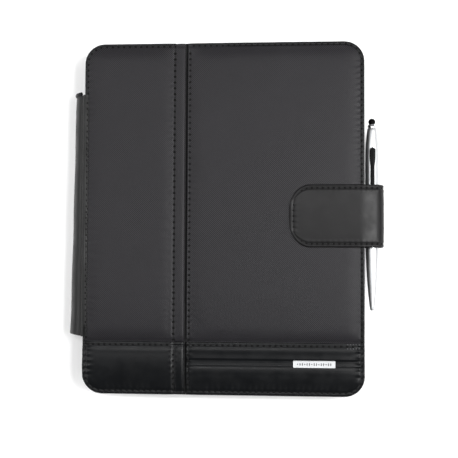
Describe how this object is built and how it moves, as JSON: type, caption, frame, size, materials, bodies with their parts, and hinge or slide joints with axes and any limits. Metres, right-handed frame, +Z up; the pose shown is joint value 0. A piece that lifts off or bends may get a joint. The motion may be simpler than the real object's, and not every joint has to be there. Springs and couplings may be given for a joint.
{
  "type": "tablet folio organiser",
  "caption": "Slim tablet computer in a padded folio organiser with a folding front cover, soft spine, magnetic closure tab and a twist pen with a stylus end.",
  "frame": {"origin": "centre of the back cover's underside, the face that the closed folio rests on", "axes": "+X right and +Y towards the top edge, as the front cover is read; +Z up out of the front cover"},
  "size_m": [0.2395, 0.266, 0.0287],
  "materials": {
    "cover_fabric": "dark grey ballistic twill weave",
    "band_leather": "smooth black leather, satin",
    "tab_leather": "soft black leather, satin",
    "spine_leather": "soft black leather, satin",
    "frame_leather": "fine grained black leather",
    "lining": "fine black lining cloth",
    "pocket_leather": "thin black leather",
    "board": "grey board",
    "foam": "thin closed-cell padding",
    "elastic": "ribbed black elastic",
    "fold_tape": "woven reinforcing tape",
    "plate_metal": "bright satin",
    "magnet": "nickel plated",
    "pen_metal": "bright polished silver",
    "pen_chrome": "polished",
    "pen_clip_black": "gloss black",
    "stylus_rubber": "matte black",
    "brass": "turned",
    "refill_plastic": "smooth",
    "tablet_metal": "fine bead blasted",
    "tablet_glass": "clear gloss over black",
    "display": "dark, switched off",
    "battery": "foil pouch",
    "circuit_board": "solder mask",
    "button_plastic": "smooth black",
    "connector_metal": "plated"
  },
  "bodies": {
    "back_case": {"back_leather": "band_leather", "back_board": "board", "back_lining": "lining", "holder_wall_left": "frame_leather", "holder_wall_right": "frame_leather", "holder_wall_bottom": "frame_leather", "holder_frame": "frame_leather", "pen_loop": "elastic", "tab_root_strap": "tab_leather"},
    "spine": {"spine_leather": "spine_leather", "spine_lining": "lining"},
    "front_left": {"left_fabric": "cover_fabric", "left_foam": "foam", "left_board": "board", "left_lining": "lining", "left_band": "band_leather", "left_welt": "band_leather", "fold_strip_fabric": "cover_fabric", "fold_strip_leather": "band_leather", "fold_tape": "fold_tape"},
    "front_main": {"main_fabric": "cover_fabric", "main_foam": "foam", "main_board": "board", "main_lining": "lining", "band_upper": "band_leather", "band_channel": "band_leather", "band_lower": "band_leather", "main_welt": "band_leather", "name_plate": "plate_metal", "name_plate_pins": "plate_metal", "catch_plate": "magnet", "document_pocket": "pocket_leather", "card_pockets": "pocket_leather"},
    "tab": {"tab_leather": "tab_leather", "tab_core": "board", "tab_magnet": "magnet", "tab_lining": "tab_leather"},
    "pen_upper": {"pen_upper_barrel": "pen_metal", "pen_clip": "pen_clip_black", "pen_centre_ring": "pen_chrome", "stylus_collar": "pen_chrome", "stylus_tip": "stylus_rubber", "pen_twist_core": "brass"},
    "pen_lower": {"pen_lower_barrel": "pen_metal"},
    "refill": {"refill_tube": "refill_plastic", "refill_point": "brass"},
    "tablet": {"tablet_housing": "tablet_metal", "tablet_glass": "tablet_glass", "tablet_display": "display", "tablet_battery": "battery", "tablet_logic_board": "circuit_board", "headphone_jack": "button_plastic", "tablet_camera": "tablet_glass", "tablet_speaker": "button_plastic", "dock_connector": "connector_metal"},
    "home_key": {"home_button": "button_plastic"},
    "power_key": {"power_button": "button_plastic"},
    "volume_key": {"volume_rocker": "button_plastic"},
    "lock_slider": {"lock_switch": "button_plastic"}
  },
  "joints": [
    {"name": "spine_lift", "type": "hinge", "parent": "back_case", "child": "spine", "pos_m": [-0.106, 0, 0.003], "axis": [0, -1, 0], "range_deg": [0, 90], "deforming": ["spine_leather", "spine_lining"]},
    {"name": "cover_open", "type": "hinge", "parent": "spine", "child": "front_left", "pos_m": [-0.106, 0, 0.0235], "axis": [0, -1, 0], "range_deg": [0, 90]},
    {"name": "cover_fold", "type": "hinge", "parent": "front_left", "child": "front_main", "pos_m": [-0.028, 0, 0.0238], "axis": [0, -1, 0], "range_deg": [0, 120], "deforming": ["fold_strip_fabric", "fold_strip_leather", "fold_tape"]},
    {"name": "tab_open", "type": "hinge", "parent": "back_case", "child": "tab", "pos_m": [0.11836, 0, 0.02606], "axis": [0, 1, 0], "range_deg": [0, 150], "deforming": ["tab_leather", "tab_core", "tab_magnet", "tab_lining"]},
    {"name": "pen_pull", "type": "slide", "parent": "back_case", "child": "pen_upper", "axis": [0, 1, 0], "range_m": [0, 0.15]},
    {"name": "pen_twist", "type": "hinge", "parent": "pen_upper", "child": "pen_lower", "pos_m": [0.1122, 0, 0.018], "axis": [0, 1, 0], "range_deg": [0, 180]},
    {"name": "refill_feed", "type": "slide", "parent": "pen_upper", "child": "refill", "axis": [0, -1, 0], "range_m": [0, 0.004]},
    {"name": "tablet_slide", "type": "slide", "parent": "back_case", "child": "tablet", "axis": [0, 1, 0], "range_m": [0, 0.24]},
    {"name": "home_press", "type": "slide", "parent": "tablet", "child": "home_key", "axis": [0, 0, -1], "range_m": [0, 0.0005], "stiffness_N_per_m": 600, "springref_m": -0.0005},
    {"name": "power_press", "type": "slide", "parent": "tablet", "child": "power_key", "axis": [0, -1, 0], "range_m": [0, 0.0004], "stiffness_N_per_m": 600, "springref_m": -0.0005},
    {"name": "volume_rock", "type": "hinge", "parent": "tablet", "child": "volume_key", "pos_m": [0.091, 0.082, 0.0086], "axis": [0, 0, 1], "range_deg": [-2, 2], "stiffness_Nm_per_rad": 0.02},
    {"name": "lock_slide", "type": "slide", "parent": "tablet", "child": "lock_slider", "axis": [0, 1, 0], "range_m": [0, 0.002]}
  ],
  "couplings": [
    {"joint": "cover_open", "follows": "spine_lift", "ratio": 1},
    {"joint": "refill_feed", "follows": "pen_twist", "m_per_rad": 0.0012732}
  ]
}
